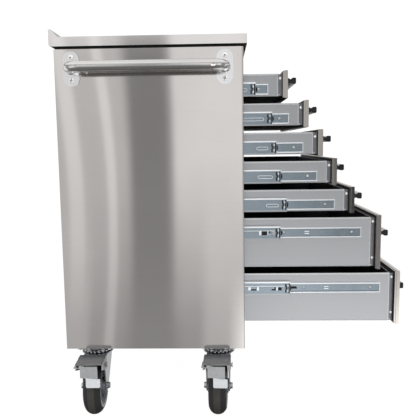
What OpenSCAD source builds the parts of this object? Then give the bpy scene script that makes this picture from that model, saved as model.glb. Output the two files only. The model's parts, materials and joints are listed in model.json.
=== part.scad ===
// Rolling tool chest: stainless cabinet with a lipped worktop, seven drawers on
// ball-bearing slides, a side push handle and four casters. The drawers are
// stored staggered open. Front is -Y, the handle is on the -X side, +Z is up.
// Inside the modules x runs from the handle-side panel (0) across the cabinet,
// u runs from the rear edge of the panels (0) to the front, z from their lower edge.

/* [Cabinet] */
// Width of the cabinet over its side panels
cab_w = 610; // [520:5:760]
// Height of the side panels
cab_h = 792; // [792:1:800]
// Width of the rolled edge that the side panels turn in at the front
stile_w = 20; // [16:1:21]
// Thickness of the cabinet sheet
sheet = 1.2; // [0.9:0.1:1.5]

/* [Worktop] */
// Thickness of the worktop slab
top_t = 23.5; // [20:0.5:30]
// Overhang of the worktop past the side panels
top_over = 8.5; // [6:0.5:14]
// Rise of the rear lip above the worktop
lip_rise = 18.5; // [12:0.5:30]

/* [Drawers] */
// Height of a shallow drawer front
front_small = 70; // [64:0.5:72]
// Height of a deep drawer front
front_tall = 145.5; // [130:0.5:146]
// Thickness of a drawer front
front_t = 13; // [12:0.5:15]
// Sheet thickness of the drawer boxes
box_t = 1; // [0.7:0.1:1.2]
// Length of the drawer boxes
box_len = 430; // [410:1:440]
// Projection of the pulls from the drawer fronts
pull_out = 23; // [20:0.5:28]

/* [Slides] */
// Length of a closed slide
slide_len = 406; // [396:1:410]
// Distance from the top of a drawer front to the middle of its slide
slide_drop = 46.7; // [46:0.1:47]

/* [Push handle] */
// Radius of the handle tube
tube_r = 12.7; // [10:0.1:14]
// Distance from the side panel to the handle's centreline
handle_out = 55; // [50:1:56]
// Height of the handle above the lower edge of the panel
handle_z = 742; // [700:1:744]

/* [Casters] */
// Radius of the caster wheels
wheel_r = 75; // [70:1:75]
// Width of the caster wheels
wheel_w = 50; // [44:1:52]
// Height from the floor to the cabinet
caster_h = 186; // [186:1:190]
// Trail of the swivel casters
trail = 45; // [40:1:48]

/* [Hidden] */

// Cabinet depth, and where the closed drawer fronts stand
cab_d = 483;
front_u = cab_d + 1;
// How far each drawer stands open as stored, from the top one down
open = [114, 168, 206, 243, 290, 361.5, 415];
// How far each middle slide member has followed its drawer
mid = [81, 124, 135, 147, 163, 147, 173];
tall = [false, false, false, false, false, true, true];
// Height of the top edge of each drawer front
front_top = [734, 658.5, 583, 507.5, 432, 356.5, 205];
// Inset of each pull from the end of its drawer front
pull_inset = [16, 16, 16, 22, 16, 16, 40];

slide_rear = 28;
front_x0 = stile_w + 2;
front_x1 = cab_w - stile_w - 2;
box_x0 = 35;
box_x1 = cab_w - 35;
rail_t = 12.7;

king_u_rear = 70;
king_u_front = 413;
king_x = 60;
// The rigid casters stand further in, under the cabinet
rigid_x = cab_w - 82;
axle_z = wheel_r - caster_h;
pedal_out = 130;
// How far each swivel caster stands turned about its kingpin, in degrees
yaw_rear = 2;
yaw_front = -3;

top_z = cab_h + 6;
u_min = -9;
u_max = front_u + open[6] + pull_out;
x_min = king_x - pedal_out * cos(yaw_front) - 29 * abs(sin(yaw_front));
x_max = cab_w + top_over;
// The origin is under the middle of the chest as stored, on the floor
cx = (x_min + x_max) / 2;
cu = (u_min + u_max) / 2;

steel = [0.74, 0.73, 0.71];
bright = [0.83, 0.84, 0.85];
zinc = [0.66, 0.70, 0.74];
grey = [0.56, 0.58, 0.60];
dark = [0.12, 0.12, 0.13];
rubber = [0.16, 0.16, 0.16];

function front_h(i) = tall[i] ? front_tall : front_small;
function box_top(i) = front_top[i] - 7;
function box_bot(i) = front_top[i] - front_h(i) + 5.5;
function slide_z(i) = front_top[i] - slide_drop;
function pull_z(i) = front_top[i] - (tall[i] ? 50 : 25);
// Outer and inner face of a front, and the front end of its box
function out_u(i) = front_u + open[i];
function in_u(i) = out_u(i) - front_t;
function end_u(i) = in_u(i) - 11;

// From x, u, z of the cabinet to the part's own frame
module place() translate([-cx, cu, caster_h]) children();
// A block between two corners given as [x, u, z]
module block(a, b) translate([a[0], -b[1], a[2]]) cube([b[0] - a[0], b[1] - a[1], b[2] - a[2]]);
// A cylinder along the cabinet's width
module x_rod(p, r, len, fn = 48) translate([p[0], -p[1], p[2]]) rotate([0, 90, 0]) cylinder(r = r, h = len, $fn = fn);
// The same piece on the other side of the cabinet
module other_side() translate([cab_w, 0, 0]) mirror([1, 0, 0]) children();

// ---- cabinet ----

// Plan of a side panel: outer sheet with a rolled front edge and a rear return
module side_plan() {
  difference() {
    union() {
      translate([0, -cab_d + 4]) square([sheet, cab_d - 4]);
      translate([4, -cab_d]) square([stile_w - 4, sheet]);
      intersection() {
        translate([0, -cab_d]) square([4, 4]);
        translate([4, -cab_d + 4]) circle(r = 4, $fn = 48);
      }
    }
    translate([4, -cab_d + 4]) circle(r = 4 - sheet, $fn = 48);
  }
  translate([0, -sheet]) square([15, sheet]);
}

module side_panel() {
  linear_extrude(height = cab_h) side_plan();
  block([sheet, sheet, cab_h - sheet], [16, cab_d - 6, cab_h]);
}

// Holes for the handle screws
module handle_holes(r, x0, len) {
  for (u = [44, 436], dz = [-28.5, 28.5]) x_rod([x0, u, handle_z + dz], r, len, 32);
}

module side_panel_left() color(steel) place() difference() {
  side_panel();
  handle_holes(3.3, -1, 4);
}

module side_panel_right() color(steel) place() other_side() side_panel();

module back_panel() color(steel) place() difference() {
  union() {
    block([1.4, sheet, 0], [cab_w - 1.4, sheet + 1, cab_h - 1.4]);
    // Stiffening ribs pressed towards the inside
    for (z = [200, 400, 600]) block([60, sheet + 1, z - 9], [cab_w - 60, sheet + 5, z + 9]);
  }
  for (z = [200, 400, 600]) block([61, sheet - 1, z - 8], [cab_w - 61, sheet + 4, z + 8]);
}

module caster_holes(r, z0, len) {
  for (x = [king_x, rigid_x], u = [king_u_rear, king_u_front], dx = [-39, 39], du = [-39, 39])
    translate([x + dx, -u - du, z0]) cylinder(r = r, h = len, $fn = 32);
}

module bottom_pan() color(steel) place() difference() {
  union() {
    block([sheet, sheet + 1, 0], [cab_w - sheet, cab_d - 4.4, 1.5]);
    block([4.4, cab_d - 5, 0], [cab_w - 4.4, cab_d - sheet, 1.5]);
    block([sheet, sheet + 1, 1.5], [sheet + 1.2, cab_d - 6, 18]);
    block([cab_w - sheet - 1.2, sheet + 1, 1.5], [cab_w - sheet, cab_d - 6, 18]);
  }
  caster_holes(4.25, -1, 4);
}

lock_x = cab_w - 70;
lock_z = 764;

module front_rails() color(steel) place() {
  difference() {
    union() {
      block([stile_w + 0.3, cab_d - sheet, 737], [cab_w - stile_w - 0.3, cab_d, cab_h - sheet]);
      block([stile_w + 0.3, cab_d - 22, 737], [cab_w - stile_w - 0.3, cab_d - sheet, 737 + sheet]);
    }
    translate([lock_x, -cab_d + 3, lock_z]) rotate([90, 0, 0]) cylinder(r = 9.6, h = 6, $fn = 48);
  }
  block([stile_w + 0.3, cab_d - sheet, 0], [cab_w - stile_w - 0.3, cab_d, 56.5]);
  block([stile_w + 0.3, cab_d - 20, 56.5 - sheet], [cab_w - stile_w - 0.3, cab_d - sheet, 56.5]);
}

module lock_cylinder() color(bright) place() difference() {
  translate([lock_x, -cab_d, lock_z]) union() {
    translate([0, 26, 0]) rotate([90, 0, 0]) cylinder(r = 9.55, h = 26.3, $fn = 48);
    translate([0, -0.3, 0]) rotate([90, 0, 0]) cylinder(r = 12, h = 2.5, $fn = 48);
    // Cam that turns behind the rail
    translate([-6, 26, -20]) cube([12, 2, 26]);
  }
  translate([lock_x - 0.8, -cab_d - 4, lock_z - 4.5]) cube([1.6, 10, 9]);
}

module top_frame() color(dark) place() difference() {
  block([6, 6, cab_h], [cab_w - 6, cab_d - 6, top_z]);
  block([36, 36, cab_h - 1], [cab_w - 36, cab_d - 36, top_z + 1]);
}

// Cross section of the rear lip, in u and z
module lip_outline(t) {
  polygon([[13 - t, top_z - (t > 0 ? 5 : 0)], [13 - t, top_z + top_t + 1 - t], [-3 - t / 2, top_z + top_t + lip_rise - t],
    [-9 + t, top_z + top_t + lip_rise - t], [-9 + t, top_z + 5], [-4, top_z + 5], [-4, top_z - (t > 0 ? 5 : 0)]]);
  translate([-4, top_z + 5]) circle(r = 5 - t, $fn = 48);
}

module lip_solid(x0, x1, t) translate([x0, 0, 0]) rotate([90, 0, 90]) linear_extrude(height = x1 - x0) mirror([1, 0, 0]) lip_outline(t);

module worktop() color(steel) place() {
  difference() {
    block([-top_over, 13, top_z], [cab_w + top_over, 492, top_z + top_t]);
    block([-top_over + sheet, 13 + sheet, top_z - 1], [cab_w + top_over - sheet, 492 - sheet, top_z + top_t - sheet]);
  }
  difference() {
    lip_solid(-top_over, cab_w + top_over, 0);
    lip_solid(-top_over + sheet, cab_w + top_over - sheet, sheet);
  }
}

module worktop_core() color(dark) place()
  block([-top_over + sheet, 13 + sheet, top_z + 0.5], [cab_w + top_over - sheet, 492 - sheet, top_z + top_t - sheet]);

// ---- slides ----

// A slide member on the handle side: web at x, flanges reaching x0 to x1
module member(web0, web1, fl0, fl1, half, ft, u0, u1, z) {
  block([web0, u0, z - half], [web1, u1, z + half]);
  block([fl0, u0, z + half - ft], [fl1, u1, z + half]);
  block([fl0, u0, z - half], [fl1, u1, z - half + ft]);
}

module slide_uprights() color(zinc) place() {
  for (u = [50, 392]) {
    upright(u);
    other_side() upright(u);
  }
}
module upright(u) {
  x1 = box_x0 - rail_t;
  block([x1 - 1.5, u, 19], [x1, u + 34, cab_h - 4]);
  block([sheet, u, 19], [x1 - 1.5, u + 1.5, cab_h - 4]);
  block([sheet, u + 32.5, 19], [x1 - 1.5, u + 34, cab_h - 4]);
}

module cabinet_slides() color(zinc) place() for (i = [0:6]) {
  cab_member(i);
  other_side() cab_member(i);
}
module cab_member(i) member(box_x0 - rail_t, box_x0 - 11.5, box_x0 - rail_t, box_x0 - 3, 22.75, 1.25, slide_rear, slide_rear + slide_len, slide_z(i));

module middle_slides(i) color(zinc) place() {
  mid_member(i);
  other_side() mid_member(i);
}
module mid_member(i) {
  u0 = slide_rear + mid[i];
  member(box_x0 - 7.7, box_x0 - 6.5, box_x0 - 10, box_x0 - 2.5, 18, 1.2, u0, u0 + slide_len, slide_z(i));
  // Ball races rolled along its two edges
  race(box_x0 - 10, box_x0 - 7.7, 14.4, 18, u0, u0 + slide_len, slide_z(i));
}
module race(x0, x1, h0, h1, u0, u1, z) {
  block([x0, u0, z + h0], [x1, u1, z + h1]);
  block([x0, u0, z - h1], [x1, u1, z - h0]);
}

module drawer_rails(i) color(zinc) place() {
  rail_member(i);
  other_side() rail_member(i);
}
module rail_member(i) {
  u0 = slide_rear + open[i];
  u1 = u0 + slide_len;
  member(box_x0 - 1.2, box_x0, box_x0 - 5.5, box_x0, 13.3, 1.3, u0, u1, slide_z(i));
  race(box_x0 - 5.5, box_x0 - 4.3, 10.7, 13.3, u0, u1, slide_z(i));
  block([box_x0 - 4, u1 - 1.2, slide_z(i) - 13.3], [box_x0, u1, slide_z(i) + 13.3]);
}

// ---- drawers ----

module drawer_box(i) {
  u1 = end_u(i);
  u0 = u1 - box_len;
  color(grey) place() {
    difference() {
      union() {
        block([box_x0, u0, box_bot(i)], [box_x1, u1, box_top(i)]);
        // Rolled rim along the two sides
        block([box_x0 - 1.6, u0 + 3, box_top(i) - 4], [box_x1 + 1.6, u1 - 2, box_top(i)]);
      }
      block([box_x0 + box_t, u0 + box_t, box_bot(i) + box_t], [box_x1 - box_t, u1 - box_t, box_top(i) + 1]);
    }
  }
}

module drawer_front(i) {
  u = out_u(i);
  z1 = front_top[i];
  z0 = z1 - front_h(i);
  color(steel) place() {
    // Outer skin, folded round its edges
    difference() {
      block([front_x0, u - 8.6, z0], [front_x1, u, z1]);
      block([front_x0 + 1.2, u - 9, z0 + 1.2], [front_x1 - 1.2, u - 1.2, z1 - 1.2]);
    }
    // Inner skin, closing it from behind
    difference() {
      block([front_x0 + 1.3, u - front_t, z0 + 1.3], [front_x1 - 1.3, u - 2, z1 - 1.3]);
      block([front_x0 + 2.5, u - front_t + 1, z0 + 2.5], [front_x1 - 2.5, u - 1, z1 - 2.5]);
    }
    // Bracket channel between the box and the front
    difference() {
      block([box_x0 + 0.4, u - front_t - 11, box_bot(i) + 0.8], [box_x1 - 0.4, u - front_t - 0.1, box_top(i) - 1]);
      block([box_x0 + 1.6, u - front_t - 12, box_bot(i) - 1], [box_x1 - 1.6, u - front_t - 1.2, box_top(i) + 1]);
    }
  }
}

// Section of a pull: flange, waist and rounded head, across the front
module pull_section() {
  p = pull_out;
  polygon([[0, -7.2], [4.2, -6.6], [8.2, -3.7], [11.2, -5.4], [13.6, -7.8], [p - 3.4, -8], [p - 3.4, 8], [13.6, 7.8], [11.2, 5.4], [8.2, 3.7], [4.2, 6.6], [0, 7.2]]);
  translate([p - 3.4, 0]) square([6.8, 9.2], center = true);
  for (s = [-1, 1]) translate([p - 3.4, s * 4.6]) circle(r = 3.4, $fn = 32);
}

module pull_bar(i, x0, x1) translate([x0, -out_u(i), pull_z(i)]) rotate([90, 0, 90]) linear_extrude(height = x1 - x0) mirror([1, 0, 0]) pull_section();

module drawer_pull(i) {
  x0 = front_x0 + pull_inset[i];
  x1 = front_x1 - pull_inset[i];
  color(bright) place() pull_bar(i, x0 + 4.1, x1 - 4.1);
  color(dark) place() {
    pull_bar(i, x0, x0 + 4);
    pull_bar(i, x1 - 4, x1);
  }
}

// ---- push handle ----

module tube(len) difference() {
  cylinder(r = tube_r, h = len, $fn = 64);
  translate([0, 0, -1]) cylinder(r = tube_r - 1.5, h = len + 2, $fn = 64);
}
module bend(r) rotate_extrude(angle = 90, $fn = 96) translate([r, 0]) difference() {
  circle(r = tube_r, $fn = 64);
  circle(r = tube_r - 1.5, $fn = 64);
}

bend_r = 34;
module push_handle() color(bright) place() {
  for (u = [44, 436]) difference() {
    union() {
      for (dz = [-23, 23]) x_rod([-2.5, u, handle_z + dz], 21, 2.5, 64);
      block([-2.5, u - 21, handle_z - 23], [0, u + 21, handle_z + 23]);
    }
    handle_holes(3.3, -4, 6);
  }
  translate([0, 0, handle_z]) {
    for (u = [44, 436]) translate([-2.5, -u, 0]) rotate([0, -90, 0]) tube(handle_out - bend_r - 2.5);
    translate([-handle_out, -44 - bend_r, 0]) rotate([90, 0, 0]) tube(392 - 2 * bend_r);
    translate([-handle_out + bend_r, -44 - bend_r, 0]) rotate([0, 0, 90]) bend(bend_r);
    translate([-handle_out + bend_r, -436 + bend_r, 0]) rotate([0, 0, 180]) bend(bend_r);
  }
}

module handle_screws() color(bright) place()
  for (u = [44, 436], dz = [-28.5, 28.5]) translate([0, -u, handle_z + dz]) {
    difference() {
      translate([-2.5, 0, 0]) rotate([0, -90, 0]) union() {
        cylinder(r = 6.4, h = 1, $fn = 48);
        translate([0, 0, 1]) intersection() {
          translate([0, 0, -9]) sphere(r = 11.04, $fn = 64);
          cylinder(r = 6.4, h = 3, $fn = 48);
        }
      }
      for (a = [20, 110]) rotate([a, 0, 0]) translate([-6, -3.6, -0.7]) cube([2.6, 7.2, 1.4]);
    }
    rotate([0, 90, 0]) translate([0, 0, -2.5]) cylinder(r = 3, h = 12, $fn = 32);
    translate([sheet, 0, 0]) rotate([0, 90, 0]) difference() {
      cylinder(r = 5.8, h = 4.5, $fn = 6);
      translate([0, 0, -1]) cylinder(r = 3, h = 7, $fn = 32);
    }
  }

// ---- casters, drawn about the kingpin with the wheel trailing towards -X ----

module caster_plates() color(bright) place() {
  difference() {
    for (x = [king_x, rigid_x], u = [king_u_rear, king_u_front])
      block([x - 48, u - 48, -4], [x + 48, u + 48, 0]);
    caster_holes(4.25, -5, 6);
  }
  // Upper ball race of the swivel casters
  for (u = [king_u_rear, king_u_front]) translate([king_x, -u, -4]) {
    translate([0, 0, -5]) cylinder(r = 46.5, h = 5, $fn = 96);
    translate([0, 0, -8]) cylinder(r1 = 44, r2 = 46.5, h = 3, $fn = 96);
    translate([0, 0, -13.6]) cylinder(r = 39, h = 6, $fn = 96);
  }
}

// Balls between the races of the swivel casters
module caster_balls() color(bright) place()
  for (u = [king_u_rear, king_u_front], a = [0:18:359])
    translate([king_x, -u, 0]) rotate([0, 0, a]) translate([35, 0, -21]) sphere(r = 3.2, $fn = 24);

module caster_bolts() color(zinc) place()
  for (x = [king_x, rigid_x], u = [king_u_rear, king_u_front], dx = [-39, 39], du = [-39, 39])
    translate([x + dx, -u - du, 0]) {
      translate([0, 0, -9]) cylinder(r = 7.3, h = 5, $fn = 6);
      translate([0, 0, -4]) cylinder(r = 4, h = 16, $fn = 32);
      translate([0, 0, 1.5]) difference() {
        cylinder(r = 7.3, h = 6.5, $fn = 6);
        translate([0, 0, -1]) cylinder(r = 4, h = 9, $fn = 32);
      }
    }

module y_rod(r, len, fn = 48) rotate([90, 0, 0]) cylinder(r = r, h = len, center = true, $fn = fn);

// Axle bolt with its head and nut
module axle(x) translate([x, 0, axle_z]) {
  y_rod(6, 66);
  for (s = [-1, 1]) {
    translate([0, s * 33, 0]) y_rod(9.5, 2);
    translate([0, s * 36.5, 0]) y_rod(8, 5.4, 6);
  }
}

// Outline of a swivel fork's leg, in x and z
module leg_outline() {
  polygon([[38, -26], [40, -40], [28, -58], [-trail + 13, axle_z - 8], [-trail - 15, axle_z], [-66, -62], [-84, -48], [-86, -32], [-60, -26]]);
  translate([-trail, axle_z]) circle(r = 15, $fn = 48);
}

module leg(y0) translate([0, y0, 0]) rotate([90, 0, 0]) linear_extrude(height = 3) difference() {
  leg_outline();
  translate([-trail, axle_z]) circle(r = 6, $fn = 48);
}

// A swivel caster's own axes, turned as it stands
module swivel(u, yaw) translate([king_x, -u, 0]) rotate([0, 0, yaw]) children();

module swivel_fork(u, yaw) color(bright) place() swivel(u, yaw) {
  translate([-40, -32, -29]) cube([78, 64, 3]);
  leg(32);
  leg(-29);
  // Neck, lower race and kingpin nut
  translate([0, 0, -26]) cylinder(r = 20, h = 8.1, $fn = 64);
  translate([0, 0, -26]) cylinder(r = 43, h = 1.6, $fn = 96);
  translate([0, 0, -36]) cylinder(r = 12, h = 8, $fn = 6);
  axle(-trail);
  // Pivot studs of the brake
  for (s = [-1, 1]) translate([-76, s * 35.3, -38]) {
    y_rod(4, 6.6);
    translate([0, s * 4.1, 0]) y_rod(6.5, 2);
  }
}

// Brake hood and treadle, one bent sheet pivoted on the fork
module brake_pedal(u, yaw) color(zinc) place() swivel(u, yaw) difference() {
  union() {
    // Flat top with its front lip
    translate([-125.5, -31, -18.2]) cube([61.5, 62, 2.5]);
    translate([-88, -35.7, -18.2]) cube([24, 71.4, 2.5]);
    translate([-126, -31, -19.4]) cube([2.2, 62, 3.7]);
    // Face, which hangs from the lip at one side
    translate([-128.5, -22.5, -53]) cube([2.5, 45, 30.4]);
    translate([-128.5, 11.5, -24]) cube([4.5, 11, 7]);
    // Tongue
    translate([-130, 0, 0]) {
      translate([0, -29, -75]) cube([2.5, 37, 19]);
      translate([0, -22.5, -57]) cube([2.5, 30.5, 5]);
      translate([0, -25, -79]) cube([2.5, 29, 8]);
      for (y = [-25, 4]) translate([0, y, -75]) rotate([0, 90, 0]) cylinder(r = 4, h = 2.5, $fn = 32);
    }
    // Side wings on the pivot studs
    for (y = [33.2, -35.7]) translate([0, y + 2.5, 0]) rotate([90, 0, 0]) linear_extrude(height = 2.5)
      polygon([[-64, -16.5], [-88, -16.5], [-122, -20], [-124, -34], [-92, -46], [-80, -50], [-68, -50], [-64, -44]]);
    for (s = [-1, 1]) translate([-124, s > 0 ? 30 : -35.7, -20]) cube([36, 5.7, 2.4]);
    // Ear beside the treadle
    translate([-128, 22, -27]) cube([30, 17, 2.2]);
    translate([-128.5, 21, -27]) cube([3.5, 4, 8]);
    // Brake shoe
    translate([-99, -14, -44]) cube([8, 28, 28]);
  }
  for (s = [-1, 1]) translate([-76, s * 36, -38]) y_rod(4.06, 12);
}

module rigid_caster_forks() color(bright) place()
  for (u = [king_u_rear, king_u_front]) translate([rigid_x, -u, 0]) {
    for (y = [32, -29]) translate([0, y, 0]) rotate([90, 0, 0]) linear_extrude(height = 3) difference() {
      union() {
        polygon([[-42, -4], [-40, -30], [-15, axle_z], [15, axle_z], [40, -30], [42, -4]]);
        translate([0, axle_z]) circle(r = 15, $fn = 48);
      }
      translate([0, axle_z]) circle(r = 6, $fn = 48);
    }
    translate([-42, -32, -7]) cube([84, 64, 3]);
    axle(0);
  }

// A wheel about its own axle
module swivel_wheel(u, yaw) place() swivel(u, yaw) translate([-trail, 0, axle_z]) caster_wheel();
module rigid_wheel(u) place() translate([rigid_x, -u, axle_z]) caster_wheel();
module caster_wheel() rotate([90, 0, 0]) {
  w = wheel_w / 2;
  // Rubber tyre with a round tread
  color(rubber) rotate_extrude($fn = 128) intersection() {
    translate([wheel_r - w + 0.2, 0]) circle(r = w, $fn = 96);
    translate([58.1, -w]) square([wheel_r - 58.1, 2 * w]);
  }
  // Hub with its rim, web and boss
  color(grey) rotate_extrude($fn = 96) {
    translate([50, -w + 2]) square([8, 2 * w - 4]);
    translate([18, -6]) square([33, 12]);
    translate([34, -10]) square([4, 20]);
    translate([6.05, -28]) square([13, 56]);
  }
  color(grey) for (a = [0:60:359]) rotate([0, 0, a]) translate([18, -2, -w + 9]) cube([33, 4, 2 * w - 18]);
}

side_panel_left();
side_panel_right();
back_panel();
bottom_pan();
front_rails();
top_frame();
worktop();
worktop_core();
slide_uprights();
cabinet_slides();
push_handle();
handle_screws();
caster_plates();
caster_balls();
caster_bolts();
rigid_caster_forks();
lock_cylinder();
drawer_box(0);  // drawer_box_1
drawer_box(1);  // drawer_box_2
drawer_box(2);  // drawer_box_3
drawer_box(3);  // drawer_box_4
drawer_box(4);  // drawer_box_5
drawer_box(5);  // drawer_box_6
drawer_box(6);  // drawer_box_7
drawer_front(0);  // drawer_front_1
drawer_front(1);  // drawer_front_2
drawer_front(2);  // drawer_front_3
drawer_front(3);  // drawer_front_4
drawer_front(4);  // drawer_front_5
drawer_front(5);  // drawer_front_6
drawer_front(6);  // drawer_front_7
drawer_pull(0);  // drawer_pull_1
drawer_pull(1);  // drawer_pull_2
drawer_pull(2);  // drawer_pull_3
drawer_pull(3);  // drawer_pull_4
drawer_pull(4);  // drawer_pull_5
drawer_pull(5);  // drawer_pull_6
drawer_pull(6);  // drawer_pull_7
drawer_rails(0);  // drawer_rails_1
drawer_rails(1);  // drawer_rails_2
drawer_rails(2);  // drawer_rails_3
drawer_rails(3);  // drawer_rails_4
drawer_rails(4);  // drawer_rails_5
drawer_rails(5);  // drawer_rails_6
drawer_rails(6);  // drawer_rails_7
middle_slides(0);  // middle_slides_1
middle_slides(1);  // middle_slides_2
middle_slides(2);  // middle_slides_3
middle_slides(3);  // middle_slides_4
middle_slides(4);  // middle_slides_5
middle_slides(5);  // middle_slides_6
middle_slides(6);  // middle_slides_7
swivel_fork(king_u_rear, yaw_rear);  // swivel_fork_rear
swivel_fork(king_u_front, yaw_front);  // swivel_fork_front
brake_pedal(king_u_rear, yaw_rear);  // brake_pedal_rear
brake_pedal(king_u_front, yaw_front);  // brake_pedal_front
swivel_wheel(king_u_rear, yaw_rear);  // wheel_rear_left
swivel_wheel(king_u_front, yaw_front);  // wheel_front_left
rigid_wheel(king_u_rear);  // wheel_rear_right
rigid_wheel(king_u_front);  // wheel_front_right
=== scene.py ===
import math
import json

import bpy
import bmesh
from mathutils import Matrix, Vector


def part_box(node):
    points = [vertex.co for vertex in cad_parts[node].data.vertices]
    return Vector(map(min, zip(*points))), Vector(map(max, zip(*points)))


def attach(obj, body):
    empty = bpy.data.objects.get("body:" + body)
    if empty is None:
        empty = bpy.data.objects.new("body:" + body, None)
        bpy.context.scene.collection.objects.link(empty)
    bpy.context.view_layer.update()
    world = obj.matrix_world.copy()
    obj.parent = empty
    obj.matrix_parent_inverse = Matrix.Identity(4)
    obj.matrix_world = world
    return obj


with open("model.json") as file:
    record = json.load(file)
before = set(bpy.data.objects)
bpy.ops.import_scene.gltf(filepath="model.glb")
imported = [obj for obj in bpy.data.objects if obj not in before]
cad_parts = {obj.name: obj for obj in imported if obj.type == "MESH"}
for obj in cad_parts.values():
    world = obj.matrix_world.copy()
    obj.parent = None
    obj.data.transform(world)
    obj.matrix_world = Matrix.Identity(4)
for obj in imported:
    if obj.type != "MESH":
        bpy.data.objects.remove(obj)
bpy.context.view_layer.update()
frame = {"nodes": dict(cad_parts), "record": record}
nodes = frame["nodes"]
S = bpy.context.scene
S.view_settings.view_transform = "Standard"
S.view_settings.look = "None"


# ---------------------------------------------------------------- helpers
def link(ob):
    S.collection.objects.link(ob)
    return ob


def new_mesh_object(name, bm, mats, smooth=40.0):
    me = bpy.data.meshes.new(name)
    bmesh.ops.recalc_face_normals(bm, faces=bm.faces)
    bm.to_mesh(me)
    bm.free()
    for m in mats if isinstance(mats, (list, tuple)) else [mats]:
        me.materials.append(m)
    ob = link(bpy.data.objects.new(name, me))
    shade(ob, smooth)
    return ob


def shade(ob, angle=40.0):
    """Smooth shading with the edges sharper than the angle kept sharp."""
    me = ob.data
    for p in me.polygons:
        p.use_smooth = True
    bm = bmesh.new()
    bm.from_mesh(me)
    lim = math.radians(angle)
    sharp = [e.index for e in bm.edges if len(e.link_faces) == 2 and e.calc_face_angle(0.0) > lim or len(e.link_faces) != 2]
    bm.free()
    for i in sharp:
        me.edges[i].use_edge_sharp = True


def bevel(ob, width, segments=2, angle=35.0):
    m = ob.modifiers.new("edge", "BEVEL")
    m.width = width
    m.segments = segments
    m.limit_method = "ANGLE"
    m.angle_limit = math.radians(angle)
    m.use_clamp_overlap = True
    m.harden_normals = False
    w = ob.modifiers.new("normals", "WEIGHTED_NORMAL")
    w.keep_sharp = False
    w.weight = 80


def add_box(bm, lo, hi, mat=0):
    r = bmesh.ops.create_cube(bm, size=1.0)
    lo, hi = Vector(lo), Vector(hi)
    c, d = (lo + hi) / 2, hi - lo
    for v in r["verts"]:
        v.co = Vector((c.x + v.co.x * d.x, c.y + v.co.y * d.y, c.z + v.co.z * d.z))
    fs = set(f for v in r["verts"] for f in v.link_faces)
    for f in fs:
        f.material_index = mat
    return list(fs)


def add_lathe(bm, profile, origin, axis, segs=32, mat=0, closed=True):
    """Turns (radius, height) points about an axis and adds the closed shape."""
    axis = Vector(axis).normalized()
    side = axis.orthogonal().normalized()
    up = axis.cross(side)
    rings = []
    for r, h in profile:
        if r < 1e-7:
            rings.append([bm.verts.new(Vector(origin) + axis * h)])
            continue
        rings.append([
            bm.verts.new(Vector(origin) + axis * h + (side * math.cos(a) + up * math.sin(a)) * r)
            for a in (2 * math.pi * k / segs for k in range(segs))
        ])
    for a, b in zip(rings, rings[1:]):
        for k in range(segs):
            k2 = (k + 1) % segs
            if len(a) == 1 and len(b) == 1:
                continue
            if len(a) == 1:
                f = bm.faces.new((a[0], b[k], b[k2]))
            elif len(b) == 1:
                f = bm.faces.new((a[k], b[0], a[k2]))
            else:
                f = bm.faces.new((a[k], b[k], b[k2], a[k2]))
            f.material_index = mat
    for ring in (rings[0], rings[-1]):
        if closed and len(ring) > 1:
            f = bm.faces.new(ring)
            f.material_index = mat


# ---------------------------------------------------------------- materials
def nt(mat):
    mat.use_nodes = True
    t = mat.node_tree
    return t, t.nodes["Principled BSDF"]


def coords(t, scale, rot=(0, 0, 0)):
    c = t.nodes.new("ShaderNodeTexCoord")
    m = t.nodes.new("ShaderNodeMapping")
    m.inputs["Scale"].default_value = scale
    m.inputs["Rotation"].default_value = rot
    t.links.new(c.outputs["Object"], m.inputs["Vector"])
    return m.outputs["Vector"]


def noise(t, vec, scale=1.0, detail=3.0, rough=0.55, dist=0.0):
    n = t.nodes.new("ShaderNodeTexNoise")
    n.inputs["Scale"].default_value = scale
    n.inputs["Detail"].default_value = detail
    n.inputs["Roughness"].default_value = rough
    n.inputs["Distortion"].default_value = dist
    t.links.new(vec, n.inputs["Vector"])
    return n.outputs["Fac"]


def span(t, val, lo, hi, a=0.25, b=0.75):
    n = t.nodes.new("ShaderNodeMapRange")
    n.inputs["From Min"].default_value = a
    n.inputs["From Max"].default_value = b
    n.inputs["To Min"].default_value = lo
    n.inputs["To Max"].default_value = hi
    t.links.new(val, n.inputs["Value"])
    return n.outputs["Result"]


def mix_col(t, fac, a, b):
    n = t.nodes.new("ShaderNodeMix")
    n.data_type = "RGBA"
    for sock, v in ((n.inputs[6], a), (n.inputs[7], b)):
        if isinstance(v, (tuple, list)):
            sock.default_value = (*v[:3], 1.0)
        else:
            t.links.new(v, sock)
    t.links.new(fac, n.inputs[0])
    return n.outputs[2]


def bump(t, p, height, strength, distance, prev=None):
    b = t.nodes.new("ShaderNodeBump")
    b.inputs["Strength"].default_value = strength
    b.inputs["Distance"].default_value = distance
    t.links.new(height, b.inputs["Height"])
    if prev is not None:
        t.links.new(prev, b.inputs["Normal"])
    t.links.new(b.outputs["Normal"], p.inputs["Normal"])
    return b.outputs["Normal"]


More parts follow.
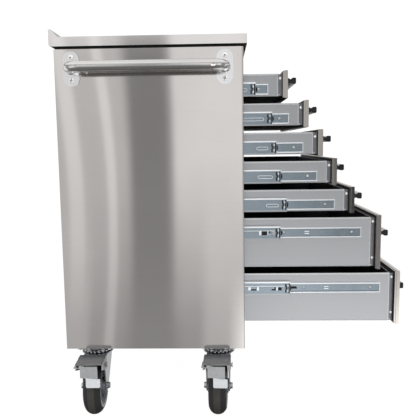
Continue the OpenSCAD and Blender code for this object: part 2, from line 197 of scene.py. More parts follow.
def brushed(name, col, col2, rough, rough2, grain, aniso=0.0, bump_d=0.00003, streak=0.5, wear=0.0):
    """Sheet metal with a grain: grain is the texture scale along X, Y and Z, small along the grain."""
    m = bpy.data.materials.new(name)
    t, p = nt(m)
    p.inputs["Metallic"].default_value = 1.0
    g = noise(t, coords(t, grain), 1.0, 4.0, 0.6)
    big = noise(t, coords(t, (5.0, 5.0, 5.0)), 1.0, 3.0, 0.5)
    mm = t.nodes.new("ShaderNodeMath")
    mm.operation = "MULTIPLY_ADD"
    t.links.new(g, mm.inputs[0])
    mm.inputs[1].default_value = streak
    t.links.new(big, mm.inputs[2])
    t.links.new(mix_col(t, span(t, mm.outputs[0], 0.0, 1.0, 0.45, 1.05), col, col2), p.inputs["Base Color"])
    t.links.new(span(t, g, rough, rough2), p.inputs["Roughness"])
    n1 = bump(t, p, g, 0.35, bump_d)
    # Slow waves of a flat sheet
    wav = noise(t, coords(t, (2.2, 2.2, 1.1)), 1.0, 1.0, 0.4)
    bump(t, p, wav, 0.25, 0.002, n1)
    if aniso:
        p.inputs["Anisotropic"].default_value = aniso
        p.inputs["Anisotropic Rotation"].default_value = 0.25
        tg = t.nodes.new("ShaderNodeTangent")
        tg.direction_type = "RADIAL"
        tg.axis = "Z"
        t.links.new(tg.outputs["Tangent"], p.inputs["Tangent"])
    return m


def zinc(name, col, col2, rough, rough2, scale=60.0, metallic=1.0, bump_d=0.00004):
    """Plated or galvanised sheet, with a fine mottle."""
    m = bpy.data.materials.new(name)
    t, p = nt(m)
    p.inputs["Metallic"].default_value = metallic
    c = coords(t, (1, 1, 1))
    a = noise(t, c, scale, 4.0, 0.6, 0.4)
    b = noise(t, c, scale * 9.0, 2.0, 0.6)
    t.links.new(mix_col(t, span(t, a, 0.0, 1.0, 0.3, 0.7), col, col2), p.inputs["Base Color"])
    t.links.new(span(t, a, rough, rough2), p.inputs["Roughness"])
    bump(t, p, b, 0.3, bump_d)
    return m


def plastic(name, col, col2, rough, rough2, scale=400.0, bump_d=0.00005, spec=0.5):
    m = bpy.data.materials.new(name)
    t, p = nt(m)
    c = coords(t, (1, 1, 1))
    a = noise(t, c, scale, 3.0, 0.55)
    d = noise(t, c, 14.0, 3.0, 0.6)
    t.links.new(mix_col(t, span(t, d, 0.0, 1.0, 0.3, 0.7), col, col2), p.inputs["Base Color"])
    t.links.new(span(t, a, rough, rough2), p.inputs["Roughness"])
    bump(t, p, a, 0.4, bump_d)
    p.inputs["Specular IOR Level"].default_value = spec
    return m


STEEL = brushed("stainless_side", (0.61, 0.585, 0.575), (0.67, 0.65, 0.64), 0.055, 0.08, (6, 6, 1500), aniso=0.9, bump_d=0.00001)
STEEL_TOP = brushed("stainless_top", (0.70, 0.68, 0.675), (0.78, 0.765, 0.76), 0.07, 0.10, (6, 6, 1200), aniso=0.8, bump_d=0.00001)
STEEL_FLAT = brushed("stainless_flat", (0.68, 0.665, 0.66), (0.74, 0.725, 0.72), 0.22, 0.30, (6, 900, 900), bump_d=0.00001)
STEEL_FRONT = brushed("stainless_front", (0.56, 0.53, 0.505), (0.64, 0.61, 0.58), 0.09, 0.13, (6, 900, 1500), bump_d=0.00001)
STEEL_TUBE = brushed("handle_steel", (0.68, 0.67, 0.66), (0.76, 0.75, 0.74), 0.12, 0.17, (700, 12, 700))
STEEL_PLATE = zinc("handle_plate_steel", (0.80, 0.81, 0.83), (0.88, 0.89, 0.90), 0.14, 0.20, 500.0, bump_d=0.000005)
BRIGHT = zinc("bright_zinc", (0.70, 0.71, 0.72), (0.82, 0.83, 0.84), 0.14, 0.24, 300.0)
DISC = zinc("race_chrome", (0.46, 0.48, 0.51), (0.56, 0.58, 0.61), 0.18, 0.28, 200.0)
ZINC = zinc("slide_zinc", (0.30, 0.36, 0.41), (0.33, 0.39, 0.44), 0.22, 0.26, 35.0, bump_d=0.00001)
# A bright copy of the slide zinc: painted highlight on the rims, folds and pressings of the slides.
ZINC_HIGHLIGHT = zinc("slide_painted_highlight", (0.86, 0.90, 0.93), (0.92, 0.95, 0.97), 0.20, 0.26, 35.0, metallic=0.55, bump_d=0.00001)
SCREW = zinc("screw_head", (0.84, 0.84, 0.83), (0.92, 0.92, 0.91), 0.22, 0.30, 200.0, metallic=0.35, bump_d=0.00001)
# A duller copy of the slide zinc: on the downward faces of the middle members' lower rims it is painted shade;
# elsewhere it is a mid-grey zinc.
ZINC_LOW = zinc("slide_edge", (0.44, 0.46, 0.48), (0.48, 0.50, 0.52), 0.22, 0.28, 35.0, bump_d=0.00001)
CASTER = zinc("caster_zinc", (0.40, 0.41, 0.43), (0.50, 0.51, 0.53), 0.18, 0.28, 150.0, bump_d=0.00002)
PEDAL = zinc("pedal_zinc", (0.52, 0.535, 0.55), (0.60, 0.615, 0.63), 0.28, 0.38, 160.0, metallic=0.85, bump_d=0.00002)
# A darker copy of the pedal zinc: painted shade on the pedal's top and on its faces turned along Y.
PEDAL_SHADE = zinc("pedal_painted_shade", (0.26, 0.265, 0.27), (0.33, 0.335, 0.34), 0.30, 0.42, 160.0, metallic=0.9, bump_d=0.00002)
PEDAL_END = zinc("pedal_tip", (0.66, 0.685, 0.71), (0.72, 0.745, 0.77), 0.30, 0.40, 120.0, metallic=0.15, bump_d=0.00002)
GREY = zinc("drawer_grey", (0.475, 0.49, 0.51), (0.50, 0.515, 0.535), 0.30, 0.38, 900.0, metallic=0.95, bump_d=0.00001)
# A lighter copy of the drawer grey: painted highlight along the folded rims and hems of the drawer boxes.
RIM = zinc("drawer_rim_painted_highlight", (0.62, 0.63, 0.65), (0.70, 0.71, 0.73), 0.25, 0.33, 400.0, metallic=0.8, bump_d=0.00002)
BRACKET = zinc("bracket_grey", (0.20, 0.205, 0.22), (0.24, 0.245, 0.26), 0.30, 0.38, 60.0, metallic=0.85, bump_d=0.00001)
BLACK = plastic("drawer_black", (0.010, 0.011, 0.013), (0.016, 0.017, 0.020), 0.35, 0.5, 300.0)
# Near-black: the worktop core's own colour, and on the top frame a fill that stands for the shade in the gap under the
# worktop.
CORE_BLACK_AND_GAP_SHADE = plastic("frame_black", (0.010, 0.010, 0.012), (0.016, 0.016, 0.018), 0.45, 0.6, 200.0)
MAT_FOAM = plastic("liner_foam", (0.016, 0.017, 0.019), (0.028, 0.028, 0.03), 0.75, 0.95, 900.0, 0.0004, 0.3)
CAP = plastic("cap_black", (0.008, 0.008, 0.010), (0.014, 0.014, 0.016), 0.25, 0.36, 500.0)
PULL = brushed("pull_aluminium", (0.80, 0.80, 0.81), (0.88, 0.88, 0.88), 0.24, 0.34, (8, 900, 900))
RUBBER = plastic("tyre_rubber", (0.016, 0.0165, 0.018), (0.026, 0.026, 0.027), 0.50, 0.68, 260.0, 0.00012, 0.4)
TREAD = plastic("tyre_tread", (0.040, 0.038, 0.035), (0.056, 0.052, 0.047), 0.55, 0.72, 260.0, 0.00012, 0.4)
HUB = plastic("hub_grey", (0.15, 0.16, 0.175), (0.20, 0.21, 0.225), 0.34, 0.48, 300.0)
HUB_RIM = plastic("hub_rim_grey", (0.24, 0.25, 0.27), (0.30, 0.31, 0.33), 0.30, 0.42, 300.0)
BUMPER = plastic("bumper_black", (0.006, 0.006, 0.007), (0.010, 0.010, 0.011), 0.35, 0.5, 500.0)


for m, level in ((BLACK, 0.3), (CAP, 0.25), (BUMPER, 0.25), (CORE_BLACK_AND_GAP_SHADE, 0.3), (RUBBER, 0.3), (TREAD, 0.3)):
    for node in m.node_tree.nodes:
        if node.type == "BSDF_PRINCIPLED":
            node.inputs["Specular IOR Level"].default_value = level


def paint(name, mats, pick=None):
    """Gives a CAD node its materials; pick says which one each face takes."""
    ob = nodes[name]
    me = ob.data
    me.materials.clear()
    for m in mats if isinstance(mats, (list, tuple)) else [mats]:
        me.materials.append(m)
    for p in me.polygons:
        p.material_index = pick(Vector(p.center), Vector(p.normal)) if pick else 0
    return ob


mm = 0.001
for n in ("side_panel_left", "side_panel_right"):
    bevel(paint(n, [STEEL, STEEL_FRONT], lambda c, n: 1 if abs(n.x) < 0.7 else 0), 0.4 * mm)
for n in ("back_panel", "bottom_pan"):
    bevel(paint(n, STEEL_FLAT), 0.4 * mm)
bevel(paint("front_rails", STEEL_FRONT), 0.35 * mm)
bevel(paint("worktop", [STEEL_TOP, STEEL_FLAT], lambda c, n: 1 if abs(n.x) < 0.7 else 0), 0.5 * mm, 3)
bevel(paint("worktop_core", CORE_BLACK_AND_GAP_SHADE), 0.5 * mm)
# The black top_frame fills the gap under the worktop: painted shade of that recess.
bevel(paint("top_frame", CORE_BLACK_AND_GAP_SHADE), 0.5 * mm)
bevel(paint("slide_uprights", ZINC), 0.3 * mm)
bevel(paint("cabinet_slides", ZINC), 0.25 * mm)
xa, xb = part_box("side_panel_left")[0].x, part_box("side_panel_right")[1].x
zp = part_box("side_panel_left")[0].z
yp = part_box("side_panel_left")[1].y
CX, CU, CZ = -xa / mm, yp / mm, zp / mm
CAB_W = (xb - xa) / mm


def at(x, u, z):
    """A point given across the cabinet, back to front and up, in millimetres."""
    return Vector(((x - CX) * mm, (CU - u) * mm, (z + CZ) * mm))


bevel(paint("push_handle", [STEEL_TUBE, STEEL_PLATE], lambda c, n: 1 if c.x > xa - 2.6 * mm else 0), 0.3 * mm)
hz = [j for j in frame["record"]["mounts"] if j["name"] == "handle_bar"][0]["pos_m"][2]


def pick_cross_shade(c, n):
    """The recess of a screw's cross, painted near-black as shade."""
    if c.x > xa - 3.3 * mm:
        return 0
    u, z = abs(abs(CU - c.y / mm - 240) - 196), abs(abs(c.z - hz) / mm - 28.5)
    inside = math.hypot(u, z) < 3.9
    return 1 if inside and (abs(n.x) < 0.5 or c.x > xa - 3.5 * mm) else 0


bevel(paint("handle_screws", [SCREW, BUMPER], pick_cross_shade), 0.1 * mm)
bevel(paint("lock_cylinder", BRIGHT), 0.15 * mm)
bevel(paint("caster_plates", [DISC, CASTER], lambda c, n: 1 if c.z < zp - 12.05 * mm else 0), 0.5 * mm, 3)
for n in ("caster_balls", "caster_bolts"):
    bevel(paint(n, BRIGHT), 0.3 * mm)
bevel(paint("rigid_caster_forks", CASTER), 0.4 * mm)


def rim_pick(name, half, lip):
    """Web and rims of a slide member: the upper rim and the upturned faces of the lower rim take material 1, a bright
    copy of the zinc that is a painted highlight; the other faces of the lower rim take material 2, on the middle
    members a duller copy that is painted shade.
    """
    lo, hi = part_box(name)
    zc = (lo.z + hi.z) / 2

    def pick(c, n):
        d = (c.z - zc) / mm
        if d > half - lip - 0.1:
            return 1
        if d < -(half - lip - 0.1):
            return 1 if n.z > 0.5 else 2
        return 0
    return pick


for i in range(1, 8):
    lo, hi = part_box(f"drawer_box_{i}")
    x0, x1 = lo.x + 1.6 * mm, hi.x - 1.6 * mm

    def pick_box(c, n, lo=lo, hi=hi, x0=x0, x1=x1):
        e = 0.15 * mm
        if c.x < x0 - e or c.x > x1 + e or c.z > hi.z - e:
            return 2
        if abs(c.x - x0) < e or abs(c.x - x1) < e or abs(c.y - hi.y) < e or abs(c.y - lo.y) < e:
            return 0
        return 1

    # The folded top rim and the outward hem of each box take the lighter grey as painted highlight.
    bevel(paint(f"drawer_box_{i}", [GREY, BLACK, RIM], pick_box), 0.3 * mm)
    flo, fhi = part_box(f"drawer_front_{i}")
    yo = flo.y

    def pick_front(c, n, yo=yo, flo=flo, fhi=fhi):
        d = c.y - yo
        if d > 13.05 * mm:
            return 2
        if d > 12.5 * mm and n.y > 0.5 and flo.x + 2 * mm < c.x < fhi.x - 2 * mm:
            return 1
        return 0

    bevel(paint(f"drawer_front_{i}", [STEEL_FRONT, BLACK, BRACKET], pick_front), 0.35 * mm)
    plo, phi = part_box(f"drawer_pull_{i}")

    def pick_pull(c, n, plo=plo, phi=phi):
        return 1 if c.x < plo.x + 4.05 * mm or c.x > phi.x - 4.05 * mm else 0

    bevel(paint(f"drawer_pull_{i}", [PULL, CAP], pick_pull), 0.4 * mm)
    bevel(paint(f"drawer_rails_{i}", [ZINC, ZINC_HIGHLIGHT, ZINC_HIGHLIGHT], rim_pick(f"drawer_rails_{i}", 13.3, 2.6)), 0.3 * mm)
    bevel(paint(f"middle_slides_{i}", [ZINC, ZINC_HIGHLIGHT, ZINC_LOW], rim_pick(f"middle_slides_{i}", 18.0, 3.6)), 0.35 * mm)

for w in ("rear", "front"):
    bevel(paint(f"swivel_fork_{w}", CASTER), 0.4 * mm)
    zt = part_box(f"brake_pedal_{w}")[0].z + 24.5 * mm
    # Below zt the pedal tip; above it, the top and the faces turned along Y take the darker copy of the zinc as painted
    # shade.
    bevel(paint(f"brake_pedal_{w}", [PEDAL, PEDAL_END, PEDAL_SHADE], lambda c, n, zt=zt: 1 if c.z < zt else (2 if c.z > zt + 34 * mm or abs(n.y) > 0.6 else 0)), 0.5 * mm, 3)
    for s in ("left", "right"):
        lo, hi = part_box(f"wheel_{w}_{s}")
        ax, ay, az = (lo.x + hi.x) / 2, (lo.y + hi.y) / 2, (lo.z + hi.z) / 2
        jt = [j for j in frame["record"]["behaviour"]["joints"] if j["name"] == f"wheel_{w}_{s}_spin"][0]
        axle = Vector(jt["axis"]).normalized()
        mid = Vector((ax, ay, az))

        def pick_wheel(c, n, mid=mid, axle=axle):
            d = c - mid
            side = d.dot(axle)
            r = (d - axle * side).length
            if r > 57.95 * mm:
                return 3 if abs(side) < 9.5 * mm else 0
            return 2 if r > 49.5 * mm else 1

        paint(f"wheel_{w}_{s}", [RUBBER, HUB, HUB_RIM, TREAD], pick_wheel)
        shade(nodes[f"wheel_{w}_{s}"], 35)


# ---------------------------------------------------------------- detail pieces
def block(bm, a, b, mat=0):
    p, q = at(*a), at(*b)
    return add_box(bm, [min(p[k], q[k]) for k in range(3)], [max(p[k], q[k]) for k in range(3)], mat)


def pan_head(bm, p, axis, r, h, mat=0, dark=None, turn=0.4, segs=24):
    """A domed screw head standing on p, with a cross of blocks in it where dark names a material; that cross is painted
    shade of the recess.
    """
    prof = [(r, -0.0002), (r, h * 0.3), (r * 0.94, h * 0.58), (r * 0.78, h * 0.82), (r * 0.5, h * 0.96), (0.0, h)]
    add_lathe(bm, prof, p, axis, segs, mat)
    if dark is not None:
        a = Vector(axis).normalized()
        side = a.orthogonal().normalized()
        up = a.cross(side)
        for k in (0, 1):
            t = turn + k * math.pi / 2
            d = side * math.cos(t) + up * math.sin(t)
            e = a.cross(d)
            vs = []
            for sd in (-1, 1):
                for se in (-1, 1):
                    for top in (0.2, 1.02):
                        vs.append(bm.verts.new(Vector(p) + d * sd * r * 0.62 + e * se * r * 0.13 + a * h * top))
            for q in ((0, 1, 3, 2), (4, 6, 7, 5), (0, 4, 5, 1), (2, 3, 7, 6), (1, 5, 7, 3), (0, 2, 6, 4)):
                f = bm.faces.new([vs[j] for j in q])
                f.material_index = dark


def slot_ring(bm, x, u0, u1, z, hh, t, proud, mat=0, side=-1):
    """A raised oval rim pressed in a web, running back to front."""
    n = 10
    def oval(r, grow):
        pts = []
        for k in range(n + 1):
            a = -math.pi / 2 + math.pi * k / n
            pts.append((u1 - r + (r + grow) * math.cos(a), z + (r + grow) * math.sin(a)))
        for k in range(n + 1):
            a = math.pi / 2 + math.pi * k / n
            pts.append((u0 + r + (r + grow) * math.cos(a), z + (r + grow) * math.sin(a)))
        return pts
    rings = []
    for g, h in ((0, 0), (-t * 0.3, proud), (-t * 0.7, proud), (-t, 0)):
        rings.append([bm.verts.new(at(x + side * h, u, zz)) for u, zz in oval(hh, g)])
    m = len(rings[0])
    for a, b in zip(rings, rings[1:] + rings[:1]):
        for k in range(m):
            f = bm.faces.new((a[k], a[(k + 1) % m], b[(k + 1) % m], b[k]))
            f.material_index = mat


def add_piece(name, bm, mats, body, smooth=35.0, edge=0.0):
    ob = new_mesh_object(name, bm, mats, smooth)
    if edge:
        bevel(ob, edge * mm, 2, 40)
    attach(ob, body)
    return ob


for i in range(1, 8):
    lo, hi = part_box(f"drawer_box_{i}")
    u_end = CU - lo.y / mm
    u_rear = CU - hi.y / mm
    zb, zt = lo.z / mm - CZ, hi.z / mm - CZ
    xw0 = lo.x / mm + CX + 1.6
    is_tall = zt - zb > 90
    rlo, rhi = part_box(f"drawer_rails_{i}")
    zs = (rlo.z + rhi.z) / 2 / mm - CZ
    ur = CU - rlo.y / mm
    mlo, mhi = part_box(f"middle_slides_{i}")
    um = CU - mlo.y / mm
    um0 = CU - mhi.y / mm

    # Screws of the brackets and of the rails, on both sides; each rail screw stands on a thin black disc, a painted
    # shadow round its head, and has a black cross, painted shade of its recess.
    bm = bmesh.new()
    heads = [zt - 12.0] + ([zb + 23.0] if is_tall else [])
    for sgn, xo in ((-1, xw0), (1, CAB_W - xw0)):
        ax = (sgn, 0, 0)
        for z in heads:
            pan_head(bm, at(xo - sgn * 0.4, u_end + 5.6, z), ax, 3.6 * mm, 2.2 * mm, 0, None)
        pan_head(bm, at(xo - sgn * 0.4, u_end + 2.6, zb + 3.2), ax, 1.5 * mm, 1.2 * mm, 0, None, segs=16)
        for uu in (ur - 25, ur - 205, ur - 330):
            pan_head(bm, at(xo + sgn * 1.2, uu, zs), ax, 4.0 * mm, 0.35 * mm, 2, None)
            pan_head(bm, at(xo + sgn * 1.2, uu, zs + 0.3), ax, 3.1 * mm, 1.6 * mm, 0, 2, 0.5)
    add_piece(f"drawer_screws_{i}", bm, [SCREW, RIM, BUMPER], f"drawer_{i}")

    # Folded edges of the sheet: hem along the foot and round the front end, and the catch on the rail
    bm = bmesh.new()
    for sgn, xo in ((-1, xw0), (1, CAB_W - xw0)):
        # The hem round the front end takes the lighter grey: painted highlight.
        block(bm, (xo, u_end - 2.6, zb + 0.4), (xo + sgn * 0.5, u_end - 0.2, zt - 4.2), 0)
        block(bm, (xo, u_rear + 4, zb + 0.2), (xo + sgn * 0.4, u_end - 2.8, zb + 2.0), 1)
        block(bm, (xo - sgn * 0.4, u_end + 9.6, zb + 1.2), (xo - sgn * 0.4 + sgn * 0.45, u_end + 10.6, zt - 1.6), 3)
        xr = xo + sgn * 1.2
        # The catch and the ribs on the rail take the bright copy of the zinc: painted highlight.
        block(bm, (xr, ur - 1.6, zs - 11.4), (xr + sgn * 2.9, ur - 0.1, zs + 11.4), 2)
        if is_tall:
            for dz in (-2.6, 3.0):
                block(bm, (xr, ur - 150, zs + dz - 1.3), (xr + sgn * 2.2, ur - 138, zs + dz + 1.3), 2)
        block(bm, (xr, u_rear + 30, zs - 6), (xr + sgn * 0.5, u_rear + 52, zs + 6), 1)
    add_piece(f"drawer_hems_{i}", bm, [RIM, ZINC_LOW, ZINC_HIGHLIGHT, BUMPER], f"drawer_{i}", edge=0.15)

    # Lining mat, cut with rounded corners
    bm = bmesh.new()
    m = 2.4
    pts = []
    for cxx, cuu, a0 in ((CAB_W - xw0 - m - 8, u_end - m - 8, 0), (xw0 + m + 8, u_end - m - 8, 90), (xw0 + m + 8, u_rear + m + 8, 180), (CAB_W - xw0 - m - 8, u_rear + m + 8, 270)):
        for k in range(5):
            a = math.radians(a0 + 22.5 * k)
            pts.append((cxx + 8 * math.cos(a), cuu + 8 * math.sin(a)))
    low = [bm.verts.new(at(x, u, zb + 1.15)) for x, u in pts]
    top = [bm.verts.new(at(x, u, zb + 3.6)) for x, u in pts]
    bm.faces.new(low[::-1])
    bm.faces.new(top)
    for k in range(len(pts)):
        bm.faces.new((low[k], low[(k + 1) % len(pts)], top[(k + 1) % len(pts)], top[k]))
    add_piece(f"drawer_liner_{i}", bm, [MAT_FOAM], f"drawer_{i}", edge=0.5)

    # Trim of the middle member: bumper, end tabs, ribs and windows pressed in the web. The tabs, ribs and rings in the
    # bright copy of the zinc are painted highlight.
    bm = bmesh.new()
    for sgn, xo in ((-1, xw0), (1, CAB_W - xw0)):
        xm = xo + sgn * 7.7
        block(bm, (xm, um - 13.0, zs - 12.0), (xm + sgn * 1.4, um - 9.6, zs - 1.0), 0)
        block(bm, (xm, um - 13.0, zs + 2.2), (xm + sgn * 1.4, um - 9.6, zs + 12.2), 0)
        block(bm, (xm, um - 10.4, zs - 2.6), (xm + sgn * 1.7, um - 7.0, zs + 4.2), 0)
        block(bm, (xm, um - 6.6, zs - 9.0), (xm + sgn * 1.8, um - 4.6, zs - 3.6), 1)
        block(bm, (xm, um - 6.6, zs + 4.6), (xm + sgn * 1.8, um - 4.6, zs + 10.0), 1)
        block(bm, (xm, um - 4.2, zs - 13.4), (xm + sgn * 1.9, um - 1.2, zs + 13.4), 0)
        # Bumper nose that stands past the end of the web, in the rail's channel
        add_lathe(bm, [(9.6 * mm, 0.0), (10.2 * mm, 0.4 * mm), (10.2 * mm, 1.1 * mm), (9.6 * mm, 1.5 * mm)],
                  at(xo + sgn * 4.4, um - 5.6, zs - 0.2), (sgn, 0, 0), 36, 0)
        if i in (6, 7):
            block(bm, (xm, um0 + 60, zs + 5.2), (xm + sgn * 0.5, um - 16, zs + 6.6), 1)
        if i == 6:
            for a, b, z0, z1, mt in ((50, 36, -5.6, 5.4, 0), (31.5, 27, 0.5, 5.4, 0), (33, 26.6, -5.4, -2.6, 2), (57, 52, -5.6, 5.4, 1), (35, 33.4, -6, 5.8, 1), (22, 14.5, -5.4, 5.2, 2)):
                block(bm, (xm, um - a, zs + z0), (xm + sgn * 0.6, um - b, zs + z1), mt)
        elif i == 7:
            for a, b, z0, z1, mt in ((32, 22.5, -6.0, 2.4, 0), (50, 38, -6.0, -2.2, 0), (42, 38.5, -2.2, 3.0, 0), (37, 33.4, -5.6, 3.4, 1), (105, 91, -6.0, -2.4, 0), (89, 84, -6.0, 3.6, 1), (113, 106, -5.2, 3.4, 1)):
                block(bm, (xm, um - a, zs + z0), (xm + sgn * 0.6, um - b, zs + z1), mt)
        else:
            ln = {1: 30, 2: 62, 3: 31, 4: 40, 5: 34}[i]
            slot_ring(bm, xm, um - 21 - ln, um - 21, zs - 1.5, 4.4, 1.5, 0.9, 1, sgn)
            if i in (1, 2):
                block(bm, (xm, um - 21 - ln - 34, zs - 3.0), (xm + sgn * 0.6, um - 21 - ln - 4, zs + 1.2), 1)
        for uu in (um0 + 24, um0 + 190):
            pan_head(bm, at(xm - sgn * 0.1, uu, zs), (sgn, 0, 0), 3.2 * mm, 1.1 * mm, 2)
    add_piece(f"slide_trim_{i}", bm, [BUMPER, ZINC_HIGHLIGHT, ZINC_LOW], f"slide_{i}", edge=0.12)

# Release levers of the lowest drawer's slides
bm = bmesh.new()
mlo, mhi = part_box("middle_slides_7")
um = CU - mlo.y / mm
zs = (mlo.z + mhi.z) / 2 / mm - CZ
xw0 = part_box("drawer_box_7")[0].x / mm + CX + 1.6
for sgn, xo in ((-1, xw0), (1, CAB_W - xw0)):
    x = xo + sgn * 4.6
    block(bm, (x, um + 2, zs - 1.9), (x + sgn * 1.4, um + 17.5, zs + 1.9), 0)
    add_lathe(bm, [(1.6 * mm, -0.2 * mm), (1.9 * mm, 0.2 * mm), (1.9 * mm, 1.3 * mm), (1.4 * mm, 1.7 * mm)], at(x, um + 17.2, zs), (sgn, 0, 0), 18, 0)
add_piece("release_levers", bm, [BUMPER], "slide_7", edge=0.2)

# Weld beads where the handle's tube meets its plates
hz = hz / mm - CZ
bm = bmesh.new()
for u in (44, 436):
    p = at(-2.4, u, hz)
    prof = []
    for k in range(7):
        a = math.radians(90 * k / 6)
        prof.append(((15.3 - 2.6 * math.sin(a)) * mm, (2.6 - 2.6 * math.cos(a)) * mm))
    prof = [(15.3 * mm, -0.05 * mm)] + prof + [(12.6 * mm, 2.7 * mm), (12.6 * mm, -0.05 * mm)]
    add_lathe(bm, prof, p, (-1, 0, 0), 64, 0, closed=False)
bmesh.ops.remove_doubles(bm, verts=bm.verts, dist=1e-6)
add_piece("handle_welds", bm, [STEEL_PLATE], "cabinet", 50)

# Rivets of the back panel and its seam strip
bm = bmesh.new()
for x in (8.0, CAB_W - 8.0):
    for k in range(7):
        pan_head(bm, at(x, 0.0, 40 + k * 118), (0, 1, 0), 2.6 * mm, 1.1 * mm, 0, None, segs=20)
for k in range(5):
    pan_head(bm, at(60 + k * (CAB_W - 120) / 4, 1.2, 20), (0, 1, 0), 2.6 * mm, 1.1 * mm, 0, None, segs=20)
add_piece("back_rivets", bm, [BRIGHT], "cabinet")

# ---------------------------------------------------------------- stage, light and camera
def flat(name, lo, hi, mat):
    bm = bmesh.new()
    vs = [bm.verts.new(p) for p in ((lo[0], lo[1], lo[2]), (hi[0], lo[1], lo[2]), (hi[0], hi[1], hi[2]), (lo[0], hi[1], hi[2]))]
    bm.faces.new(vs)
    return new_mesh_object(name, bm, mat)


floor_mat = bpy.data.materials.new("stage_floor")
t, p = nt(floor_mat)
p.inputs["Roughness"].default_value = 0.8
p.inputs["Specular IOR Level"].default_value = 0.0
lp = t.nodes.new("ShaderNodeLightPath")
t.links.new(mix_col(t, lp.outputs["Is Camera Ray"], (0.5, 0.5, 0.5), (0.03, 0.03, 0.03)), p.inputs["Base Color"])
p.inputs["Emission Color"].default_value = (1, 1, 1, 1)
t.links.new(span(t, lp.outputs["Is Camera Ray"], 0.0, 0.99, 0.0, 1.0), p.inputs["Emission Strength"])
floor = flat("stage_floor", (-14, -14, -0.0005), (14, 14, -0.0005), floor_mat)
floor.visible_glossy = False

world = bpy.data.worlds.new("studio")
S.world = world
world.use_nodes = True
t = world.node_tree
t.nodes.clear()
out = t.nodes.new("ShaderNodeOutputWorld")
cam_bg = t.nodes.new("ShaderNodeBackground")
cam_bg.inputs["Color"].default_value = (1, 1, 1, 1)
cam_bg.inputs["Strength"].default_value = 1.05
ref_bg = t.nodes.new("ShaderNodeBackground")
mixs = t.nodes.new("ShaderNodeMixShader")
lp = t.nodes.new("ShaderNodeLightPath")
t.links.new(lp.outputs["Is Camera Ray"], mixs.inputs[0])
t.links.new(ref_bg.outputs[0], mixs.inputs[1])
t.links.new(cam_bg.outputs[0], mixs.inputs[2])
t.links.new(mixs.outputs[0], out.inputs["Surface"])
tc = t.nodes.new("ShaderNodeTexCoord")
sep = t.nodes.new("ShaderNodeSeparateXYZ")
t.links.new(tc.outputs["Generated"], sep.inputs[0])


def wmath(op, a, b=None):
    n = t.nodes.new("ShaderNodeMath")
    n.operation = op
    for k, v in enumerate((a, b)):
        if v is None:
            continue
        if isinstance(v, (int, float)):
            n.inputs[k].default_value = v
        else:
            t.links.new(v, n.inputs[k])
    return n.outputs[0]


# Direction round the studio: 0 looks along -X from the chest, positive towards its front
azim = wmath("MULTIPLY", wmath("ARCTAN2", wmath("MULTIPLY", sep.outputs["Y"], -1.0), wmath("MULTIPLY", sep.outputs["X"], -1.0)), 180 / math.pi)


def ramp(val, lo, hi, stops, interp="LINEAR"):
    mr = t.nodes.new("ShaderNodeMapRange")
    mr.inputs["From Min"].default_value = lo
    mr.inputs["From Max"].default_value = hi
    t.links.new(val, mr.inputs["Value"])
    r = t.nodes.new("ShaderNodeValToRGB")
    t.links.new(mr.outputs["Result"], r.inputs["Fac"])
    r.color_ramp.interpolation = interp
    el = r.color_ramp.elements
    stops = [((s - lo) / (hi - lo), v) for s, v in stops]
    el[0].position, el[1].position = stops[0][0], stops[-1][0]
    el[0].color = (stops[0][1],) * 3 + (1,)
    el[1].color = (stops[-1][1],) * 3 + (1,)
    for s, v in stops[1:-1]:
        e = el.new(s)
        e.color = (v, v, v, 1)
    mr_out = t.nodes.new("ShaderNodeRGBToBW")
    t.links.new(r.outputs["Color"], mr_out.inputs[0])
    return mr_out.outputs[0]


# Soft boxes and dark flags that stand round the chest, at eye level and lower down.
# They bow a little, as they look in the slightly full sheet of the panel.
el = sep.outputs["Z"]
bow = wmath("SUBTRACT", 0.9, wmath("MULTIPLY", 16.0, wmath("POWER", wmath("ABSOLUTE", wmath("ADD", el, 0.105)), 2.0)))
side = ramp(azim, -30, 30, [(-30, 1.0), (-11.6, 1.0), (-9.4, 0.25), (4.0, 0.25), (8.0, 0.0), (30, 0.0)])
azim_b = wmath("SUBTRACT", azim, wmath("MULTIPLY", wmath("MAXIMUM", bow, -1.0), side))
def blend(a, b, f):
    return wmath("ADD", wmath("MULTIPLY", a, wmath("SUBTRACT", 1.0, f)), wmath("MULTIPLY", b, f))


def step(val, a, b):
    mr = t.nodes.new("ShaderNodeMapRange")
    mr.interpolation_type = "SMOOTHSTEP"
    mr.inputs["From Min"].default_value = a
    mr.inputs["From Max"].default_value = b
    t.links.new(val, mr.inputs["Value"])
    return mr.outputs["Result"]


def rig(val, wall, boxes):
    """A wall of one brightness with soft boxes and flags before it: from, to, softness, brightness."""
    out = wall
    for lo, hi, soft, level in boxes:
        f = wmath("MULTIPLY", step(val, lo - soft, lo), wmath("SUBTRACT", 1.0, step(val, hi, hi + soft)))
        out = blend(out, level, f)
    return out


near_high = rig(azim_b, 0.7, [(-17, -16, 0.5, 1.0), (-13, -12.5, 0.5, 1.0), (-9.5, -6.5, 1.5, 0.3), (-5, 2.5, 0.8, 1.0), (4, 9, 1.5, 0.6), (12, 16, 1.5, 0.0)])
near_low = rig(azim_b, 0.45, [(-40, -15.5, 1, 0.6), (-13, -12.5, 0.5, 0.65), (-9.5, -6.5, 2.5, 0.35), (-1.5, 2.5, 1.5, 0.65), (4, 10, 2, 1.2), (12, 16.5, 1.5, 0.05), (19, 40, 1.5, 1.1)])
far_band = ramp(azim, -180, 180, [
    (-180, 0.55), (-150, 0.35), (-138, 0.9), (-112, 1.0), (-100, 0.35), (-86, 0.25), (-72, 0.75), (-45, 0.95), (-31, 0.6), (-29.9, 0.60),
    (29.9, 0.60), (40, 0.75), (56, 1.05), (66, 0.5), (80, 0.28), (92, 0.32), (100, 0.8), (122, 1.05), (134, 0.45), (150, 0.3), (166, 0.8), (180, 0.55)])
inside = wmath("LESS_THAN", wmath("ABSOLUTE", azim), 28.0)
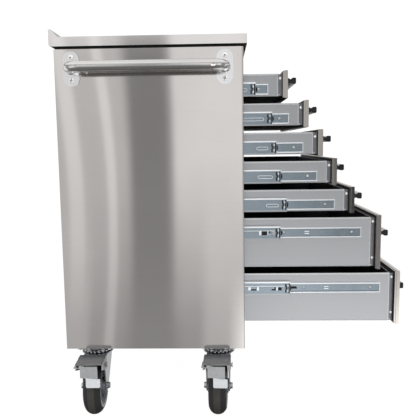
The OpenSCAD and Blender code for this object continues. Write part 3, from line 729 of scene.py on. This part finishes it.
low = ramp(el, -1.0, 1.0, [(-1.0, 1.0), (-0.34, 1.0), (-0.20, 0.5), (-0.03, 0.0), (1.0, 0.0)])


band = blend(far_band, blend(near_high, near_low, low), inside)
# A bright ceiling with a dark valance under it, and a dim floor
sky = ramp(el, -1.0, 1.0, [(-1.0, 0.16), (-0.6, 0.17), (-0.42, 0.24), (0.17, 0.5), (0.195, 1.15), (0.225, 1.2), (0.25, 0.12), (0.30, 0.14), (0.37, 0.7), (0.5, 0.95), (0.75, 1.05), (1.0, 0.9)])
hi_mix = ramp(el, -1.0, 1.0, [(-1.0, 1.0), (-0.62, 0.95), (-0.43, 0.0), (0.182, 0.0), (0.2, 0.65), (0.235, 0.75), (0.255, 1.0), (1.0, 1.0)])
# A low box in front of the drawers lights their sides from below
patch = wmath("MULTIPLY", ramp(azim, -30, 30, [(-30, 0.0), (0.5, 0.0), (4.0, 1.0), (26.0, 1.0), (30.0, 0.0)]),
              ramp(el, -1.0, 1.0, [(-1.0, 0.0), (-0.85, 0.0), (-0.7, 1.0), (-0.36, 1.0), (-0.24, 0.0), (1.0, 0.0)]))
total = wmath("ADD", blend(band, sky, hi_mix), wmath("MULTIPLY", patch, 1.3))
t.links.new(total, ref_bg.inputs["Strength"])
ref_bg.inputs["Color"].default_value = (1.0, 0.99, 0.985, 1)


def area(name, loc, target, size, power, size_y=None, color=(1, 1, 1)):
    d = bpy.data.lights.new(name, "AREA")
    d.energy = power
    d.color = color
    d.shape = "RECTANGLE" if size_y else "SQUARE"
    d.size = size
    if size_y:
        d.size_y = size_y
    o = link(bpy.data.objects.new(name, d))
    o.location = loc
    o.rotation_euler = (Vector(target) - Vector(loc)).to_track_quat("-Z", "Y").to_euler()
    o.visible_camera = False
    o.visible_glossy = False
    return o


area("key_top", (-0.9, -0.9, 3.2), (0, 0, 0.5), 2.2, 75)
area("fill_left", (-3.0, 0.9, 1.9), (0, 0, 0.5), 1.6, 26)

cx, cu = CX * mm, CU * mm
focal_px, cam_u, cam_z, dist = 530.3, 0.4282, 0.5481, 1.3763
yaw, pitch, roll = math.radians(-1.65), math.radians(6.87), math.radians(0.74)
cp, sp, cy, sy = math.cos(pitch), math.sin(pitch), math.cos(yaw), math.sin(yaw)
fwd = Vector((cp * cy, -cp * sy, -sp))
right = Vector((-sy, -cy, 0.0))
down = Vector((-sp * cy, sp * sy, -cp))
r_ax = math.cos(roll) * right + math.sin(roll) * down
d_ax = -math.sin(roll) * right + math.cos(roll) * down
cam = bpy.data.cameras.new("camera")
cam.sensor_width = 36.0
cam.lens = focal_px / 416.0 * 36.0
cam.clip_start, cam.clip_end = 0.05, 60
co = link(bpy.data.objects.new("camera", cam))
up = -d_ax
back = -fwd
co.matrix_world = Matrix((
    (r_ax.x, up.x, back.x, -dist - cx),
    (r_ax.y, up.y, back.y, cu - cam_u),
    (r_ax.z, up.z, back.z, cam_z + 0.186),
    (0, 0, 0, 1)))
S.camera = co

bpy.context.view_layer.update()
